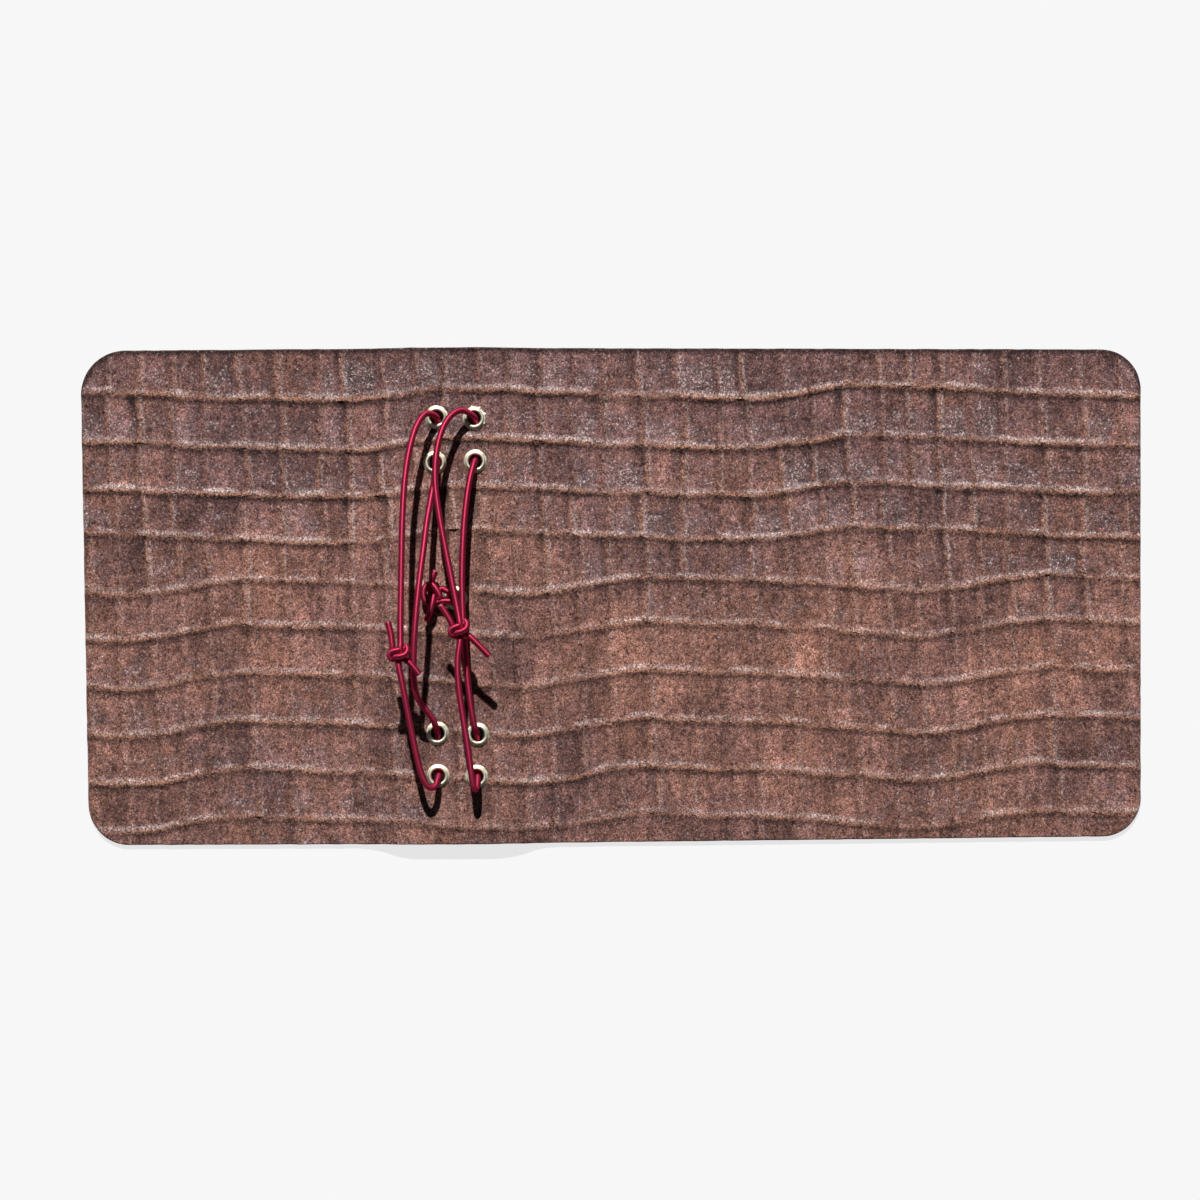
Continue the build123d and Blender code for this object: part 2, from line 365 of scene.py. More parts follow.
def makeSuede(s):
    material, tree, shader = newMaterial("suedeInside")
    place = objectPlace(tree)
    marks = {}
    for name in ("tone", "shine", "row", "rowPower", "column", "columnPower", "rim"):
        marks[name] = surfaceValue(tree, name)
    upper = spread(tree, partsOf(tree, place)[1], 0.0, 0.08, 0, 0.6)
    grain = suedeGrain(tree, place, marks, upper, s)
    rowFray = spread(tree, grain["fuzz"], 0.3, 0.7, -s["rowFray"], s["rowFray"])
    columnFray = spread(tree, grain["clump"], 0.3, 0.7, -s["columnFray"], s["columnFray"])
    fromRow = lineOffset(tree, marks["row"], s["rowStep"], rowFray)
    fromColumn = lineOffset(tree, marks["column"], s["columnStep"], columnFray)
    color = suedeGround(tree, grain, marks, upper, s)
    # painted highlights and painted shade along the cross and long ridges, with their rubbed crests
    color = ridgeColors(tree, color, fromColumn, marks["columnPower"], grain, s["crossLines"], s)
    color = ridgeColors(tree, color, fromRow, marks["rowPower"], grain, s["longLines"], s)
    # painted shade along the cut edges
    color = tinted(tree, marks["rim"], color, s["hollow"])
    color = fibreColors(tree, color, grain, marks, upper, s)
    feed(tree, shader.inputs["Base Color"], color)
    feed(tree, shader.inputs["Roughness"], spread(tree, marks["shine"], 0, 1, *s["roughness"]))
    feed(tree, shader.inputs["Specular IOR Level"], spread(tree, marks["shine"], 0, 1, *s["specular"]))
    raised = smoothPulse(tree, fromColumn, *s["raised"])
    sunk = smoothPulse(tree, fromColumn, *s["sunk"])
    low = bumped(tree, shader, sums(tree, "SUBTRACT", raised, sunk), s["ridgeDepth"], 0.7)
    under = bumped(tree, shader, grain["fuzz"], s["fuzzDepth"], 0.9, low)
    bumped(tree, shader, grain["fibre"], s["fibreDepth"], 0.9, under)
    return material


grainSet = {
    "scale": (0.085, 0.034, 0.022),
    "rubbed": (0.150, 0.062, 0.036),
    "groove": (0.030, 0.013, 0.010),
    "roughness": (0.34, 0.52),
    "specular": 0.45,
    "creaseDepth": 0.0004,
    "poreDepth": 0.00015,
}


def makeGrain(s):
    material, tree, shader = newMaterial("grainOutside")
    place = objectPlace(tree)
    pores = noise(tree, place, 900, 3, 0.6)
    creases = noise(tree, place, 260, 4, 0.65)
    broad = noise(tree, place, 30, 3, 0.6)
    color = tinted(tree, spread(tree, broad, 0.35, 0.7), s["scale"], s["rubbed"])
    color = tinted(tree, surfaceValue(tree, "groove"), color, s["groove"])
    color = tinted(tree, spread(tree, creases, 0.42, 0.30, 0, 0.5), color, s["groove"])
    feed(tree, shader.inputs["Base Color"], color)
    feed(tree, shader.inputs["Roughness"], spread(tree, pores, 0.3, 0.7, *s["roughness"]))
    shader.inputs["Specular IOR Level"].default_value = s["specular"]
    under = bumped(tree, shader, creases, s["creaseDepth"], 0.5)
    bumped(tree, shader, pores, s["poreDepth"], 0.5, under)
    return material


edgeSet = {
    "fibre": (0.175, 0.095, 0.068),
    "layer": (0.070, 0.038, 0.030),
    "roughness": 0.92,
    "specular": 0.12,
    "layerStretch": (0.35, 0.35, 2.2),
    "layerDepth": 0.0003,
}


def makeCutEdge(s):
    material, tree, shader = newMaterial("cutEdge")
    layers = noise(tree, stretched(tree, objectPlace(tree), s["layerStretch"]), 900, 4, 0.7)
    color = tinted(tree, spread(tree, layers, 0.35, 0.65), s["layer"], s["fibre"])
    feed(tree, shader.inputs["Base Color"], color)
    shader.inputs["Roughness"].default_value = s["roughness"]
    shader.inputs["Specular IOR Level"].default_value = s["specular"]
    bumped(tree, shader, layers, s["layerDepth"], 0.9)
    return material


suedeInside = makeSuede(suedeSet)
grainOutside = makeGrain(grainSet)
cutEdge = makeCutEdge(edgeSet)
print("leather finishes made")

# a roller pressed grooves into the outside, and they stand up as ridges inside
emboss = {
    "turn": 0.1264,  # the pattern comes again after this length
    "start": -0.1487,
    "rows": (0.0641, 0.0484, 0.0334, 0.0194, 0.0036, -0.0105, -0.0257, -0.0410, -0.0561, -0.0710),
    "strength": (1.15, 1.10, 1.05, 1.00, 0.80, 0.82, 0.80, 0.85, 0.90, 0.80),
    "aboveRows": 0.0795,  # the rows beyond the sheet's two long edges
    "belowRows": -0.0850,
    "upperRows": 4,  # these share one wave, the rest another
    "upperWave": (0.4, -0.45, -0.95, -1.5, -1.8, -1.9, -0.5, 1.6, 1.45, 0.95),  # mm, over one turn
    "lowerWave": (-1.75, 0.5, 2.2, 1.75, 1.25, 0.8, 0.15, -0.95, -1.75, -2.85),
    "rowTilt": 0.0065,
    "rowWander": 0.0005,
    "rowFray": 0.00018,
    "columns": (0.0, 0.075, 0.15, 0.25, 0.345, 0.44, 0.515, 0.60, 0.69, 0.765, 0.85, 0.925),  # shares
    "columnStrength": (1.0, 0.70, 0.65, 1.0, 0.75, 0.65, 1.1, 0.75, 0.65, 0.95, 0.70, 0.75),
    "columnLean": 0.04,
    "columnShift": 0.0014,  # each row of scales has its own columns, moved by up to this
    "columnWander": 0.0007,
    "ridge": 0.00044,
    "upperSlope": 0.00125,
    "lowerSlope": 0.00090,
    "foot": 0.00020,  # the hollow along a long ridge's lower side
    "footBelow": 0.0022,
    "footSlope": 0.0013,
    "column": 0.00056,
    "dip": 0.0024,
    "belly": 0.00008,  # how much each scale sags in its middle
    "bumps": ((0.00010, 0.0065, 5), (0.00004, 0.0021, 6), (0.00003, 0.0012, 9)),  # depth, size, seed
    "crinkles": ((0.00022, 0.0048, 61, 0.16), (0.00012, 0.0027, 62, 0.20)),  # and how narrow
}


def waveAt(points, turn):  # a smooth closed wave through evenly spaced points
    points = np.array(points) * 0.001
    place = turn * len(points) - 0.5
    index = np.floor(place).astype(int)
    t = place - index
    before, here, after, beyond = (points[(index + step) % len(points)] for step in (-1, 0, 1, 2))
    bend = 2 * before - 5 * here + 4 * after - beyond + t * (3 * (here - after) + beyond - before)
    return here + 0.5 * t * (after - before + t * bend)


def longRidges(x, y, s):  # the rows' lines, the height and groove they give, and how strong the nearest is
    turn = (x - s["start"]) / s["turn"]
    upper = waveAt(s["upperWave"], turn)
    lower = waveAt(s["lowerWave"], turn)
    rise = np.zeros_like(x)
    groove = np.zeros_like(x)
    rowPower = np.zeros_like(x)
    frayed = s["rowFray"] * patches(x, y, 0.0022, 31)
    lines = [np.full_like(x, s["aboveRows"])]
    for i, (row, strength) in enumerate(zip(s["rows"], s["strength"])):
        own = np.full_like(x, i)
        wave = upper if i < s["upperRows"] else lower
        line = row + wave + s["rowTilt"] * (x + 0.02) + s["rowWander"] * patches(x, own, 0.011, 20 + i)
        lines.append(line)
        off = y - line + frayed
        power = strength * (0.80 + 0.35 * patches(x, own, 0.013, 40 + i))
        slope = np.where(off > 0, s["upperSlope"], s["lowerSlope"])
        rise += power * s["ridge"] * hump(off, slope)
        rise -= power * s["foot"] * hump(off + s["footBelow"], s["footSlope"])
        groove += np.clip(power, 0.5, 1.2) * hump(off, 0.0007)
        rowPower = np.where(np.abs(off) < 0.006, power, rowPower)
    lines.append(np.full_like(x, s["belowRows"]))
    return np.array(lines), rise, groove, rowPower


def scaleCells(x, y, band, s):  # which scale a point is in, and how far it is from the nearest cross ridge
    count = len(s["columns"])
    bands = len(s["rows"]) + 1
    shifts = np.random.default_rng(7).uniform(-s["columnShift"], s["columnShift"], (bands, count))
    slid = x - s["start"] + s["columnLean"] * (y - 0.055) - s["columnWander"] * patches(x, y, 0.009, 91)
    phase = np.mod(slid, s["turn"])
    lap = np.floor(slid / s["turn"]).astype(int)
    across = np.zeros_like(x)
    column = np.zeros_like(x)
    nearest = np.zeros(len(x), int)
    cell = np.zeros(len(x), int)
    for i in range(bands):
        places = np.array(s["columns"]) * s["turn"] + shifts[i]
        inside = band == i
        index = np.searchsorted(places, phase[inside])
        around = np.concatenate([[places[-1] - s["turn"]], places, [places[0] + s["turn"]]])
        fromLeft = phase[inside] - around[index]
        fromRight = around[index + 1] - phase[inside]
        across[inside] = np.where(fromLeft < fromRight, fromLeft, -fromRight)
        nearest[inside] = np.where(fromLeft < fromRight, index - 1, index) % count
        cell[inside] = index + count * (lap[inside] + 1)
        column[inside] = cell[inside] + fromLeft / (fromLeft + fromRight)
    return across, column, nearest, cell


def crossRidges(x, y, band, height, across, nearest, s):  # they flare at their foot and fade at their top
    vary = np.random.default_rng(8).uniform(0.45, 1.2, (len(s["columns"]), len(s["rows"]) + 1))
    fade = np.interp(y, (-0.078, -0.02, 0.02, 0.078), (0.70, 0.55, 1.0, 1.0))
    power = np.array(s["columnStrength"])[nearest] * vary[nearest, band] * fade
    power *= 0.85 + 0.4 * patches(x, y, 0.012, 93)
    flare = 0.0013 + 0.0010 * (1 - height) ** 4
    crest = hump(across, flare) * (1 - 0.6 * easeStep(height, 0.55, 1.0))
    dips = hump(across, s["dip"]) * easeStep(height, 0.15, 0.7) * easeStep(height, 1.0, 0.78)
    return s["column"] * power * (1.2 * crest - 0.5 * dips), power


def scaleLooks(x, y, band, height, across, cell, s):  # each scale's own tone and polish
    size = (len(s["columns"]) * 5, len(s["rows"]) + 1)
    tones = np.random.default_rng(12).uniform(-1, 1, size)
    glints = np.random.default_rng(13).uniform(0, 1, size)
    inside = easeStep(np.abs(across), 0.0002, 0.0026)
    # besides its random tone, each scale darkens towards its top, a painted shade under the ridge above
    tone = 0.5 + 0.36 * inside * tones[cell, band] + 0.10 * (0.5 - height) * inside
    region = np.interp(y, (-0.07, -0.01, 0.02, 0.07), (0.35, 0.25, 0.75, 0.85))
    region = region + 0.6 * patches(x, y, 0.035, 15)
    burnish = hump(height - 0.35, 0.32) * inside
    shine = region * (0.30 + glints[cell, band]) * burnish + 0.45 * patches(x, y, 0.0026, 16) - 0.1
    return tone, shine, region


def embossAt(x, y, s):  # the inside's height, the outside's grooves, and what the finishes need
    lines, rise, groove, rowPower = longRidges(x, y, s)
    band = np.clip((lines > y[None, :]).sum(axis=0) - 1, 0, len(s["rows"]))
    index = np.arange(len(x))
    height = np.clip((y - lines[band + 1, index]) / (lines[band, index] - lines[band + 1, index]), 0, 1)
    across, column, nearest, cell = scaleCells(x, y, band, s)
    crossRise, power = crossRidges(x, y, band, height, across, nearest, s)
    rise += crossRise
    groove = np.maximum(groove, 0.6 * power * hump(across, 0.0006))
    tone, shine, region = scaleLooks(x, y, band, height, across, cell, s)
    rise -= s["belly"] * np.sin(np.pi * height)
    for depth, size, seed in s["bumps"]:
        rise += depth * patches(x, y, size, seed)
    crinkled = np.clip(region, 0.15, 1.0)
    for depth, size, seed, narrow in s["crinkles"]:
        rise -= depth * crinkled * hump(patches(x, y, size, seed), narrow)
    looks = {
        "row": len(s["rows"]) - band + height,
        "rowPower": np.clip(rowPower, 0, 1.2),
        "column": column,
        "columnPower": np.clip(power, 0, 1.2),
        "tone": tone,
        "shine": np.clip(shine, 0, 1),
    }
    return rise, np.clip(groove, 0, 1.15), looks


sheet = {
    "slant": 0.0028,  # the front cover's cut edge leans in by this at the bottom
    "topDips": (0.0010, 0.0, 0.0005),  # at the left end, the spine and the right end
    "bottomLifts": (0.0, 0.0004, 0.0029),
    "topCorners": (0.0140, 0.0125),
    "bottomCorners": (0.0130, 0.0120),
    "climb": 0.020,  # each cover climbs to the spine over this
    "round": 0.0005,  # rounding of the cut edges
    "groove": 0.00055,
    "wobble": 0.00007,  # of the hand-cut edges
    "flatRound": (0.0037, 0.0062),  # the emboss grows from nothing between these radii round an eyelet
    "press": 0.00003,  # how far an eyelet presses the leather down
    "stepAlong": 0.0009,
    "stepAcross": 0.00047,
    "cornerReach": 0.0145,  # the mesh's columns crowd together in the corners
    "cornerColumns": 26,
    "edgeRows": (0, 0.00008, 0.00022, 0.0004, 0.00065),
    "firstRow": 0.001,
}


def topEdge(x, s):
    return topEnd - np.interp(x, (leftEnd, spineMiddle, rightEnd), s["topDips"])


def bottomEdge(x, s):
    return -topEnd + np.interp(x, (leftEnd, spineMiddle, rightEnd), s["bottomLifts"])


def cornerDrop(x, radii):
    drop = np.zeros_like(x)
    for distance, radius in ((x - leftEnd, radii[0]), (rightEnd - x, radii[1])):
        inside = np.clip(radius - distance, 0, radius)
        drop += radius - np.sqrt(radius**2 - inside**2)
    return drop


def edgeDistance(x, y, s):
    top = topEdge(x, s)
    bottom = bottomEdge(x, s)
    nearest = np.minimum(np.minimum(x - leftEnd, rightEnd - x), np.minimum(top - y, y - bottom))
    for side, along in enumerate((x - leftEnd, rightEnd - x)):
        for radius, fromEdge in ((s["topCorners"][side], top - y), (s["bottomCorners"][side], y - bottom)):
            corner = (along < radius) & (fromEdge < radius)
            nearest = np.where(corner, radius - np.hypot(radius - along, radius - fromEdge), nearest)
    return np.clip(nearest, 0, None)


def climbAt(x, s):  # two arcs that meet half-way up, as on the frame's panels
    half = s["climb"] / 2
    radius = (half**2 + (spineRise / 2) ** 2) / spineRise
    outside = np.maximum(frontFold - x, x - backFold)
    foot = np.clip(s["climb"] - outside, 0, half)
    top = np.clip(outside, 0, half)
    low = radius - np.sqrt(radius**2 - foot**2)
    high = spineRise - radius + np.sqrt(radius**2 - top**2)
    return np.where(outside > half, low, high)


def columnPlaces(start, end, s):
    count = int(round((end - start) / s["stepAlong"]))
    xs = list(np.linspace(start, end, count + 1))
    arc = s["cornerReach"] * (1 - np.cos(np.linspace(0, math.pi / 2, s["cornerColumns"])))
    clear = s["cornerReach"] + 0.0003
    if start == leftEnd:
        xs = list(leftEnd + arc) + [x for x in xs if x > leftEnd + clear]
    if end == rightEnd:
        xs = [x for x in xs if x < rightEnd - clear] + list(rightEnd - arc[::-1])
    return np.array(xs)


def rowShares(s):
    across = 2 * topEnd
    count = int(round((across - 2 * s["firstRow"]) / s["stepAcross"]))
    inner = np.linspace(s["firstRow"], across - s["firstRow"], count + 1)
    return np.array([*s["edgeRows"], *inner, *(across - place for place in s["edgeRows"][::-1])]) / across


def flatNearEyelets(x, y, s):
    share = np.ones_like(x)
    for name in eyeletNames:
        place = eyeletPlace(name)
        share *= easeStep(np.hypot(x - place[0], y - place[1]), *s["flatRound"])
    return share


def shapeSheet(x, share, s):  # the points of its inside and its outside, and the values for its finishes
    top = topEdge(x, s) - cornerDrop(x, s["topCorners"])
    bottom = bottomEdge(x, s) + cornerDrop(x, s["bottomCorners"])
    y = bottom + (top - bottom) * share
    fromEdge = edgeDistance(x, y, s)
    wobble = s["wobble"] * patches(x, y, 0.003, 3) * easeStep(fromEdge, 0.004, 0.0)
    lean = s["slant"] * (0.5 - y / (2 * topEnd)) * np.clip((frontFold - x) / (frontFold - leftEnd), 0, 1)
    x = x + lean + wobble
    y = y + wobble
    rise, groove, looks = embossAt(x, y, emboss)
    flat = flatNearEyelets(x, y, s)
    rise = rise * flat - s["press"] * (1 - flat)
    inward = np.clip(1 - fromEdge / s["round"], 0, 1)
    rounded = s["round"] * (1 - np.sqrt(1 - inward**2))
    level = climbAt(x - lean, s)
    upper = level + leatherThick + rise * easeStep(fromEdge, -0.0005, 0.0012) - rounded
    lower = level + s["groove"] * groove * flat * easeStep(fromEdge, 0, 0.001) + rounded
    shaded = easeStep(top - y, 0.0040, 0.0024)  # painted shade along the cut edges, darkest along the top edge
    looks["rim"] = easeStep(fromEdge, 0.0018 + 0.0006 * shaded, 0.0005) * (0.12 + 0.80 * shaded)
    for key in ("rowPower", "columnPower", "shine"):
        looks[key] = looks[key] * flat
    looks["groove"] = np.clip(groove, 0, 1)
    return np.stack([x, y, upper], axis=1), np.stack([x, y, lower], axis=1), looks


def storeValue(mesh, name, values):
    layer = mesh.attributes.new(name, "FLOAT", "POINT")
    layer.data.foreach_set("value", np.asarray(values, dtype=np.float32))


def makeLeather(name, start, end, s):
    xs = columnPlaces(start, end, s)
    shares = rowShares(s)
    deselectAll()
    bpy.ops.mesh.primitive_grid_add(x_subdivisions=len(xs) - 1, y_subdivisions=len(shares) - 1, size=1)
    piece = bpy.context.object
    piece.name = name
    grid = readPoints(piece.data) + 0.5
    columnOf = np.rint(grid[:, 0] * (len(xs) - 1)).astype(int)
    rowOf = np.rint(grid[:, 1] * (len(shares) - 1)).astype(int)
    inside, outside, looks = shapeSheet(xs[columnOf], shares[rowOf], s)
    writePoints(piece.data, inside)
    for key, values in looks.items():
        storeValue(piece.data, key, values)
    for material in (suedeInside, grainOutside, cutEdge):
        piece.data.materials.append(material)
    pickOnly(piece)
    shell = piece.modifiers.new("thickness", "SOLIDIFY")
    shell.thickness = leatherThick
    shell.offset = -1
    shell.material_offset = 1
    shell.material_offset_rim = 2
    bpy.ops.object.modifier_apply(modifier=shell.name)
    both = readPoints(piece.data)
    both[len(inside) :] = outside
    writePoints(piece.data, both)
    bpy.ops.object.shade_smooth_by_angle(angle=math.radians(50))
    return piece


punch = {
    "radius": 0.0026,
    "length": 0.03,
    "level": 0.005,
    "sides": 48,
}


def punchHoles(piece, s):
    deselectAll()
    bpy.ops.mesh.primitive_cylinder_add(vertices=s["sides"], radius=s["radius"], depth=s["length"])
    pattern = bpy.context.object
    deselectAll()
    for name in eyeletNames:
        tool = pattern.copy()
        tool.data = pattern.data.copy()
        tool.location = (*eyeletPlace(name), s["level"])
        bpy.context.collection.objects.link(tool)
        tool.select_set(True)
    bpy.context.view_layer.objects.active = tool
    bpy.ops.object.join()
    pickOnly(piece)
    cut = piece.modifiers.new("holes", "BOOLEAN")
    cut.object = tool
    cut.operation = "DIFFERENCE"
    bpy.ops.object.modifier_apply(modifier=cut.name)
    bpy.data.objects.remove(tool)
    bpy.data.objects.remove(pattern)


seams = {
    "front": frontFold + 0.0011,
    "back": backFold - 0.0011,
    "backMiddle": 0.0180,
    "foreEdge": 0.0920,
}


def bendPanel(piece, node):
    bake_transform(piece)
    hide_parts(node)


frontLeather = makeLeather("frontLeather", leftEnd, seams["front"], sheet)
spineLeather = makeLeather("spineLeather", seams["front"], seams["back"], sheet)
backLeather = makeLeather("backLeather", seams["back"], seams["backMiddle"], sheet)
foreEdgeLeather = makeLeather("foreEdgeLeather", seams["backMiddle"], seams["foreEdge"], sheet)
flapLeather = makeLeather("flapLeather", seams["foreEdge"], rightEnd, sheet)
punchHoles(spineLeather, punch)

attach(spineLeather, "spine_body")
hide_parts("spine")
bendPanel(frontLeather, "front_cover")
bendPanel(backLeather, "back_cover")
bendPanel(foreEdgeLeather, "fore_edge")
bendPanel(flapLeather, "flap")
print("leather laid")

# the three elastic cords, each one smooth line from tail to tail through its own knot
cord = {
    "diameter": 0.0020,
    "sides": 32,
    "ringStep": 0.00024,
    "braidHeight": 0.000012,
    "braidStep": 0.00105,  # along the cord, from one crossing of the threads to the next
    "carriers": 8,
    "tipSwell": (0.07, 0.0006),  # a cut end swells a little, by this share over this length
    "tipRound": (0.28, 0.00012),
}

# the tied knots, seen from above: across, along and up, in cord diameters
upperHalf = [  # from the upper strand through the front wrap to the lower tail
    (0.25, 1.60, 0.35),
    (0.22, 0.95, 0.60),
    (0.20, 0.25, 0.30),
    (0.40, -0.15, -0.15),
    (0.95, 0.10, -0.35),
    (0.85, 0.70, -0.05),
    (0.40, 0.60, 0.35),
    (-0.30, 0.42, 0.62),
    (-0.95, 0.32, 0.58),
    (-1.50, -0.10, 0.18),
    (-1.35, -0.92, -0.25),
    (-0.60, -0.95, -0.55),
    (0.30, -0.75, -0.60),
    (1.00, -1.05, -0.45),
]
lowerHalf = [  # from the upper tail under the front wrap and over the other lobe to the lower strand
    (-1.05, 1.10, 0.15),
    (-1.05, 0.55, -0.30),
    (-1.15, -0.15, -0.75),
    (-0.85, -0.62, -0.10),
    (-0.35, -0.55, 0.55),
    (0.35, -0.48, 0.78),
    (1.05, -0.20, 0.66),
    (1.38, 0.50, 0.35),
    (1.05, 1.12, -0.20),
    (0.55, 0.70, -0.75),
    (0.05, -0.30, -0.95),
    (-0.05, -1.05, -0.55),
    (-0.15, -1.75, -0.15),
]
closureUpper = [
    (0.65, 3.65, 0.60),
    (0.20, 2.60, 0.50),
    (0.00, 1.70, 0.05),
    (-0.15, 1.10, -0.40),
    (-0.20, 0.30, -0.50),
    (0.40, -0.30, -0.45),
    (1.05, 0.00, -0.20),
    (1.30, 0.60, 0.20),
    (1.75, 0.90, 0.35),
    (2.40, 0.45, 0.30),
]
closureLower = [
    (2.10, -1.10, 0.20),
    (1.30, -1.20, 0.00),
    (0.40, -1.45, -0.35),
    (-0.60, -1.55, -0.20),
    (-1.20, -0.80, 0.10),
    (-1.25, 0.55, 0.30),
    (-0.75, 1.45, 0.30),
    (0.15, 1.60, 0.50),
    (0.80, 0.80, 0.85),
    (1.40, -0.30, 0.60),
    (1.10, -0.85, -0.10),
    (0.55, -0.50, -0.45),
    (0.35, -0.30, 0.20),
    (0.25, -1.20, 0.65),
    (0.00, -2.20, 0.60),
    (-0.25, -3.10, 0.40),
    (-0.85, -4.20, 0.10),
]

leftBinding = {
    "stands": ("left_binding_cord", "left_knot"),
    "exit": "eyelet_left_3",
    "knot": (-0.0655, -0.0175, 0.0283),
    "turn": 0,  # of the knot, in degrees
    "upperTail": [(-0.0690, -0.0079, 0.0287), (-0.0680, -0.0113, 0.0286)],
    "lowerTail": [(-0.0619, -0.0208, 0.0274), (-0.0594, -0.0242, 0.0263)],
    "route": [
        (-0.0651, -0.0080, 0.0283),
        (-0.0649, 0.0065, 0.0273),
        (-0.0647, 0.0240, 0.0255),
        (-0.0639, 0.0395, 0.0225),
        (-0.0615, 0.0516, 0.0186),
        (-0.0583, 0.0577, 0.0139),
        (-0.0553, 0.0571, 0.0090),
        (-0.0542, 0.0554, 0.0019),
        (-0.0546, 0.0432, 0.0019),
        (-0.0546, 0.0416, 0.0086),
        (-0.0554, 0.0360, 0.0116),
        (-0.0564, 0.0296, 0.0144),
        (-0.0574, 0.0234, 0.0180),
        (-0.0581, 0.0154, 0.0222),
        (-0.0592, 0.0067, 0.0252),
        (-0.0601, -0.0026, 0.0272),
        (-0.0608, -0.0114, 0.0269),
        (-0.0613, -0.0200, 0.0242),
        (-0.0613, -0.0276, 0.0208),
        (-0.0603, -0.0320, 0.0178),
        (-0.0574, -0.0358, 0.0142),
        (-0.0553, -0.0390, 0.0116),
        (-0.0547, -0.0420, 0.0086),
        (-0.0545, -0.0432, 0.0019),
        (-0.0540, -0.0559, 0.0019),
        (-0.0543, -0.0573, 0.0076),
        (-0.0550, -0.0600, 0.0109),
        (-0.0571, -0.0600, 0.0141),
        (-0.0590, -0.0562, 0.0165),
        (-0.0606, -0.0495, 0.0189),
        (-0.0624, -0.0395, 0.0229),
        (-0.0643, -0.0285, 0.0270),
    ],
}

rightBinding = {
    "stands": ("right_binding_cord", "right_knot"),
    "exit": "eyelet_right_3",
    "knot": (-0.0470, -0.0100, 0.0231),
    "turn": 10,
    "upperTail": [(-0.0529, -0.0026, 0.0246), (-0.0509, -0.0056, 0.0240)],
    "lowerTail": [(-0.0425, -0.0136, 0.0224), (-0.0378, -0.0185, 0.0216)],
    "route": [
        (-0.0483, -0.0005, 0.0230),
        (-0.0508, 0.0120, 0.0226),
        (-0.0532, 0.0240, 0.0220),
        (-0.0549, 0.0360, 0.0209),
        (-0.0543, 0.0465, 0.0192),
        (-0.0518, 0.0548, 0.0163),
        (-0.0475, 0.0590, 0.0119),
        (-0.0436, 0.0574, 0.0082),
        (-0.0422, 0.0551, 0.0019),
        (-0.0424, 0.0434, 0.0019),
        (-0.0430, 0.0420, 0.0084),
        (-0.0447, 0.0345, 0.0116),
        (-0.0460, 0.0225, 0.0139),
        (-0.0466, 0.0060, 0.0149),
        (-0.0461, -0.0090, 0.0148),
        (-0.0451, -0.0225, 0.0140),
        (-0.0439, -0.0340, 0.0123),
        (-0.0425, -0.0423, 0.0088),
        (-0.0420, -0.0437, 0.0019),
        (-0.0419, -0.0562, 0.0019),
        (-0.0418, -0.0578, 0.0076),
        (-0.0419, -0.0604, 0.0108),
        (-0.0428, -0.0603, 0.0144),
        (-0.0435, -0.0556, 0.0169),
        (-0.0443, -0.0485, 0.0183),
        (-0.0458, -0.0390, 0.0200),
        (-0.0472, -0.0295, 0.0217),
        (-0.0478, -0.0205, 0.0227),
    ],
}

closure = {
    "stands": ("closure_cord", "closure_knot"),
    "exit": "eyelet_middle",
    "knot": (-0.0563, 0.0008, 0.0085),
    "turn": 0,
    "route": [
        (-0.0488, 0.00055, 0.0089),
        (-0.0488, 0.00055, 0.00145),
        (-0.0506, 0.0052, 0.00145),
        (-0.0540, 0.0136, 0.00145),
        (-0.0558, 0.0250, 0.00145),
        (-0.0556, 0.0370, 0.00145),
        (-0.0416, 0.0370, 0.00145),
        (-0.0415, 0.0200, 0.00145),
        (-0.0419, 0.0000, 0.00145),
        (-0.0414, -0.0190, 0.00145),
        (-0.0417, -0.0373, 0.00145),
        (-0.0558, -0.0373, 0.00145),
        (-0.0560, -0.0250, 0.00145),
        (-0.0542, -0.0143, 0.00145),
        (-0.0507, -0.0062, 0.00145),
        (-0.0488, -0.00155, 0.00145),
        (-0.0488, -0.00155, 0.0089),
    ],
}


def vectors(points):
    return [Vector(point) for point in points]


def knotPoints(half, binding):
    turn = math.radians(binding["turn"])
    across = Vector((math.cos(turn), math.sin(turn), 0)) * cord["diameter"]
    along = Vector((-math.sin(turn), math.cos(turn), 0)) * cord["diameter"]
    up = Vector((0, 0, cord["diameter"]))
    return [Vector(binding["knot"]) + across * x + along * y + up * z for x, y, z in half]


def bindingLine(binding):  # from the upper tail round to the lower one
    first = vectors(binding["upperTail"]) + knotPoints(lowerHalf, binding)
    last = knotPoints(upperHalf, binding) + vectors(binding["lowerTail"])
    return first + vectors(binding["route"][::-1]) + last


def closureLine(binding):
    return knotPoints(closureUpper, binding) + vectors(binding["route"]) + knotPoints(closureLower, binding)


def readSpline(name, points):  # the smooth line that the cord follows, as points along it
    curve = bpy.data.curves.new(name + "Line", "CURVE")
    curve.dimensions = "3D"
    curve.resolution_u = 24
    spline = curve.splines.new("NURBS")
    spline.points.add(len(points) - 1)
    for control, point in zip(spline.points, points):
        control.co = (*point, 1)
    spline.order_u = 3
    spline.use_endpoint_u = True
    holder = bpy.data.objects.new(name + "Line", curve)
    bpy.context.collection.objects.link(holder)
    bpy.context.view_layer.update()
    mesh = bpy.data.meshes.new_from_object(holder)
    line = readPoints(mesh)
    bpy.data.objects.remove(holder)
    bpy.data.meshes.remove(mesh)
    bpy.data.curves.remove(curve)
    return line


def evenPoints(line, step):
    run = np.concatenate([[0], np.cumsum(np.linalg.norm(np.diff(line, axis=0), axis=1))])
    places = np.linspace(0, run[-1], int(run[-1] / step) + 1)
    return np.stack([np.interp(places, run, line[:, i]) for i in range(3)], axis=1), places


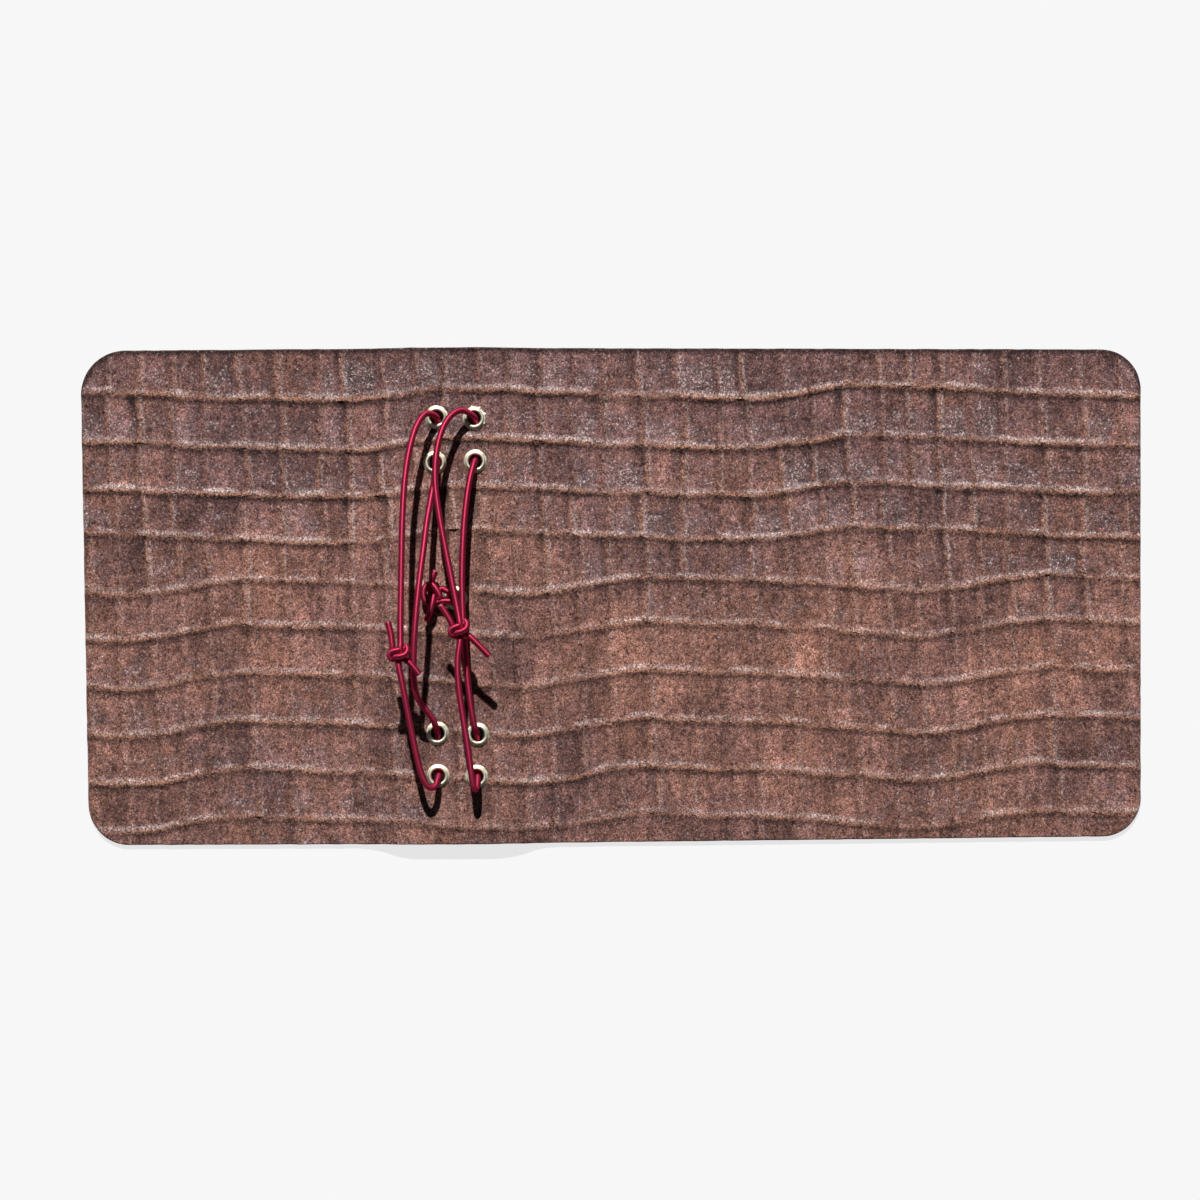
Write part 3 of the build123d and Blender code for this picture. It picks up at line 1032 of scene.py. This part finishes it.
def carriedFrames(line):  # a side and an up direction that don't twist along the line
    forward = np.gradient(line, axis=0)
    forward /= np.linalg.norm(forward, axis=1)[:, None]
    side = np.cross(forward[0], (0, 0, 1))
    sides = []
    for direction in forward:
        side = side - direction * (side @ direction)
        side = side / np.linalg.norm(side)
        sides.append(side)
    sides = np.array(sides)
    return sides, np.cross(forward, sides)


def cordRings(line, places, s):  # a ring of points round each point of the line, raised where threads cross
    sides, ups = carriedFrames(line)
    around, along = np.meshgrid(np.arange(s["sides"]) * 2 * math.pi / s["sides"], places)
    phase = along * 2 * math.pi / s["braidStep"]
    braid = np.maximum(np.sin(s["carriers"] * around + phase), np.sin(s["carriers"] * around - phase))
    fromTip = np.minimum(places, places[-1] - places)
    swell, swellLength = s["tipSwell"]
    shrink, shrinkLength = s["tipRound"]
    flare = 1 + swell * np.exp(-fromTip / swellLength) - shrink * np.exp(-fromTip / shrinkLength)
    radius = s["diameter"] / 2 * flare[:, None] - s["braidHeight"] * (1 - braid) * 0.5
    out = np.cos(around)[:, :, None] * sides[:, None, :] + np.sin(around)[:, :, None] * ups[:, None, :]
    return line[:, None, :] + radius[:, :, None] * out


def tubeFaces(rings, count):  # four-sided faces round the cord, then one over each cut end
    faces = []
    for low in range(0, (rings - 1) * count, count):
        for i in range(count):
            j = (i + 1) % count
            faces.append((low + i, low + j, low + count + j, low + count + i))
    faces.append(tuple(range(count))[::-1])
    faces.append(tuple((rings - 1) * count + i for i in range(count)))
    return faces


def layBraidMap(mesh, places, s):  # once round the cord across, cord diameters along
    count = s["sides"]
    step = np.arange(count) / count
    across = np.stack([step, step + 1 / count, step + 1 / count, step], axis=1).ravel()
    uv = np.zeros((len(mesh.loops), 2))
    for ring in range(len(places) - 1):
        low = places[ring] / s["diameter"]
        high = places[ring + 1] / s["diameter"]
        block = slice(ring * count * 4, (ring + 1) * count * 4)
        uv[block, 0] = across
        uv[block, 1] = np.tile([low, low, high, high], count)
    mesh.uv_layers.new(name="sheath").data.foreach_set("uv", uv.ravel())


def makeCordTube(name, points, s):
    line, places = evenPoints(readSpline(name, points), s["ringStep"])
    mesh = bpy.data.meshes.new(name)
    mesh.from_pydata(cordRings(line, places, s).reshape(-1, 3).tolist(), [], tubeFaces(len(line), s["sides"]))
    tube = bpy.data.objects.new(name, mesh)
    bpy.context.collection.objects.link(tube)
    layBraidMap(mesh, places, s)
    mesh.polygons.foreach_set("use_smooth", [len(face.vertices) == 4 for face in mesh.polygons])
    mesh.materials.append(elasticSheath)
    mesh.materials.append(cutRubberCore)
    for end in (-2, -1):
        mesh.polygons[end].material_index = 1
    return tube, line


sheathSet = {
    "thread": (0.590, 0.056, 0.132),
    # painted shade between the braid's threads
    "deep": (0.410, 0.010, 0.032),
    "shine": (0.16, 0.01, 0.02),
    "roughness": 0.57,
    "metallic": 0.90,
    "specular": 1.0,
    "anisotropic": 0.70,
    "braidDepth": 0.00002,
    "wearDepth": 0.00003,
}


def makeSheath(s):
    material, tree, shader = newMaterial("elasticSheath")
    braidMap = tree.nodes.new("ShaderNodeUVMap")
    braidMap.uv_map = "sheath"
    around, along = partsOf(tree, braidMap.outputs["UV"])
    around = sums(tree, "MULTIPLY", around, 2 * math.pi * cord["carriers"])
    along = sums(tree, "MULTIPLY", along, 2 * math.pi * cord["diameter"] / cord["braidStep"])
    rising = sums(tree, "SINE", sums(tree, "ADD", around, along))
    falling = sums(tree, "SINE", sums(tree, "SUBTRACT", around, along))
    weave = spread(tree, sums(tree, "MAXIMUM", rising, falling), -0.6, 1.0)
    wear = noise(tree, objectPlace(tree), 1500, 3, 0.6)
    # painted shade where the weave sinks between threads
    color = tinted(tree, spread(tree, weave, 0.0, 0.8), s["deep"], s["thread"])
    color = tinted(tree, spread(tree, wear, 0.55, 0.8, 0, 0.3), color, s["thread"])
    feed(tree, shader.inputs["Base Color"], color)
    shader.distribution = "GGX"
    shader.inputs["Roughness"].default_value = s["roughness"]
    shader.inputs["Metallic"].default_value = s["metallic"]
    shader.inputs["Specular IOR Level"].default_value = s["specular"]
    shader.inputs["Specular Tint"].default_value = (*s["shine"], 1)
    shader.inputs["Anisotropic"].default_value = s["anisotropic"]
    shader.inputs["Anisotropic Rotation"].default_value = 0.25
    tangent = tree.nodes.new("ShaderNodeTangent")
    tangent.direction_type = "UV_MAP"
    tangent.uv_map = "sheath"
    feed(tree, shader.inputs["Tangent"], tangent.outputs["Tangent"])
    under = bumped(tree, shader, weave, s["braidDepth"], 0.4)
    bumped(tree, shader, wear, s["wearDepth"], 0.5, under)
    return material


coreSet = {
    "cover": (0.30, 0.05, 0.08),
    "rubber": (0.62, 0.50, 0.50),
    "roughness": 0.7,
    "spotDepth": 0.0002,
}


def makeCutCore(s):
    material, tree, shader = newMaterial("cutRubberCore")
    spots = noise(tree, objectPlace(tree), 2600, 2, 0.5)
    color = tinted(tree, spread(tree, spots, 0.42, 0.58), s["cover"], s["rubber"])
    feed(tree, shader.inputs["Base Color"], color)
    shader.inputs["Roughness"].default_value = s["roughness"]
    bumped(tree, shader, spots, s["spotDepth"], 0.8)
    return material


def layCord(name, binding, points, s):
    tube, line = makeCordTube(name, points, s)
    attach(tube, "spine_body")
    if name == "leftCord":
        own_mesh(tube)
    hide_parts(*binding["stands"])


elasticSheath = makeSheath(sheathSet)
cutRubberCore = makeCutCore(coreSet)
layCord("leftCord", leftBinding, bindingLine(leftBinding), cord)
layCord("rightCord", rightBinding, bindingLine(rightBinding), cord)
layCord("closureCord", closure, closureLine(closure), cord)
print("cords tied")

# brass: the turned eyelets keep their frame shapes, the washers get a domed, dented one
brassSet = {
    "gold": (1.0, 0.97, 0.79),
    "olive": (0.50, 0.56, 0.28),
    "roughness": (0.46, 0.62),
    "scuffDepth": 0.00007,
}


def makeBrass(s):
    material, tree, shader = newMaterial("paleBrass")
    place = objectPlace(tree)
    tarnish = noise(tree, place, 450, 4, 0.6)
    scuff = noise(tree, place, 1800, 3, 0.6)
    color = tinted(tree, spread(tree, tarnish, 0.48, 0.68, 0, 0.85), s["gold"], s["olive"])
    feed(tree, shader.inputs["Base Color"], color)
    shader.inputs["Metallic"].default_value = 1.0
    feed(tree, shader.inputs["Roughness"], spread(tree, scuff, 0.3, 0.7, *s["roughness"]))
    bumped(tree, shader, scuff, s["scuffDepth"], 0.6)
    return material


washer = {
    "outs": (2.62, 3.70, 3.75, 3.73, 3.62, 3.44, 3.20, 2.62),  # its section, in mm out from the middle
    "ups": (0.0, 0.0, 0.05, 0.14, 0.26, 0.36, 0.42, 0.45),  # and up from the leather
    "steps": 120,
    "dent": 0.00006,
    "tabs": {"right_1": (-75, -28, 20, 62, 100)},  # degrees round the one that split when it was set
    "tabReach": 0.00032,
    "tabWidth": 6,
}


def turnWasher(s):  # the section turned about the upright line through the origin
    deselectAll()
    bpy.ops.mesh.primitive_circle_add(vertices=len(s["outs"]))
    ring = bpy.context.object
    ring.name = "turnedWasher"
    writePoints(ring.data, [(out * 0.001, 0, up * 0.001) for out, up in zip(s["outs"], s["ups"])])
    turned = ring.modifiers.new("turned", "SCREW")
    turned.steps = s["steps"]
    turned.render_steps = s["steps"]
    turned.use_merge_vertices = True
    turned.merge_threshold = 0.000001
    bpy.ops.object.modifier_apply(modifier=turned.name)
    bpy.ops.object.mode_set(mode="EDIT")
    bpy.ops.mesh.select_all(action="SELECT")
    bpy.ops.mesh.normals_make_consistent(inside=False)
    bpy.ops.object.mode_set(mode="OBJECT")
    bpy.ops.object.shade_smooth_by_angle(angle=math.radians(40))
    return ring


def setWasher(ring, name, seed, s):  # a copy with its own dents, laid round its eyelet
    piece = ring.copy()
    piece.data = ring.data.copy()
    piece.name = "domed_" + name
    bpy.context.collection.objects.link(piece)
    points = readPoints(piece.data)
    angle = np.degrees(np.arctan2(points[:, 1], points[:, 0]))
    out = np.hypot(points[:, 0], points[:, 1])
    outer = easeStep(out, 0.0031, 0.0037)
    raised = easeStep(points[:, 2], 0.0, 0.0001)
    dents = s["dent"] * patches(points[:, 0], points[:, 1], 0.0011, seed) * outer
    tabs = np.zeros_like(out)
    for place in s["tabs"].get(name, ()):
        tabs += s["tabReach"] * hump(angle - place, s["tabWidth"]) * outer
    points[:, :2] *= (1 + (dents + tabs) / out)[:, None]
    points[:, 2] += (dents + 0.6 * tabs) * raised
    points[:, :2] += eyeletPlace("eyelet_" + name)
    points[:, 2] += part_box("washer_" + name)[0][2]
    writePoints(piece.data, points)
    piece.data.materials.append(paleBrass)
    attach(piece, "spine_body")
    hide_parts("washer_" + name)


paleBrass = makeBrass(brassSet)
turnedWasher = turnWasher(washer)
for seed, name in enumerate(eyeletNames, start=200):
    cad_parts[name].data.materials.clear()
    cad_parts[name].data.materials.append(paleBrass)
    setWasher(turnedWasher, name.replace("eyelet_", ""), seed, washer)
bpy.data.objects.remove(turnedWasher)
print("eyelets finished")

light = {
    "toSun": (-0.10, 1.0, 1.0),
    "sun": 4.1,
    "sunAngle": 1.2,
    "fill": 0.035,
    "sky": (0.72, 0.88, 1.0),
    "background": 0.94,
    "floorSize": 8,
    "floorRoughness": 0.95,
    "floorShown": 0.82,  # share of the floor that the camera sees unshaded
    "underSpine": 0.22,  # painted shade: the floor's darker colour in the spine's own shade
    "shaded": (0.0084, 0.0590),  # half sizes of that shade under the eyelets
    "faded": (0.0130, 0.0770),  # and where it has faded out
}


def underTheSpine(tree, s):  # 0 in the spine's shade, 1 outside it
    x, y = partsOf(tree, objectPlace(tree))
    beside = sums(tree, "ABSOLUTE", sums(tree, "SUBTRACT", x, spineMiddle))
    beyond = sums(tree, "ABSOLUTE", y)
    beside = spread(tree, beside, s["shaded"][0], s["faded"][0])
    beyond = spread(tree, beyond, s["shaded"][1], s["faded"][1])
    return sums(tree, "MAXIMUM", beside, beyond)


def addFloor(s):
    deselectAll()
    bpy.ops.mesh.primitive_plane_add(size=s["floorSize"])
    floor = bpy.context.object
    floor.name = "floor"
    material, tree, shader = newMaterial("paleFloor")
    pale = (s["background"],) * 3
    outside = underTheSpine(tree, s)
    # painted shade on the floor under the spine
    feed(tree, shader.inputs["Base Color"], tinted(tree, outside, (s["underSpine"],) * 3, pale))
    shader.inputs["Roughness"].default_value = s["floorRoughness"]
    shader.inputs["Specular IOR Level"].default_value = 0.0
    glow = tree.nodes.new("ShaderNodeEmission")
    feed(tree, glow.inputs["Color"], pale)
    ray = tree.nodes.new("ShaderNodeLightPath")
    mix = tree.nodes.new("ShaderNodeMixShader")
    feed(tree, mix.inputs[0], products(tree, ray.outputs["Is Camera Ray"], outside, s["floorShown"]))
    feed(tree, mix.inputs[1], shader.outputs[0])
    feed(tree, mix.inputs[2], glow.outputs[0])
    feed(tree, tree.nodes["Material Output"].inputs["Surface"], mix.outputs[0])
    floor.data.materials.append(material)


def addSun(s):
    bpy.ops.object.light_add(type="SUN")
    sun = bpy.context.object
    sun.name = "sun"
    sun.data.energy = s["sun"]
    sun.data.angle = math.radians(s["sunAngle"])
    sun.rotation_euler = Vector(s["toSun"]).to_track_quat("Z", "Y").to_euler()


def addSurround(s):
    world = bpy.data.worlds.new("paleSurround")
    bpy.context.scene.world = world
    world.use_nodes = True
    tree = world.node_tree
    surround = tree.nodes["Background"]
    seen = tree.nodes.new("ShaderNodeLightPath").outputs["Is Camera Ray"]
    feed(tree, surround.inputs["Color"], tinted(tree, seen, s["sky"], (1.0, 1.0, 1.0)))
    feed(tree, surround.inputs["Strength"], spread(tree, seen, 0, 1, s["fill"], s["background"]))


addFloor(light)
addSun(light)
addSurround(light)
bpy.context.scene.view_settings.view_transform = "Standard"
print("floor and light set")
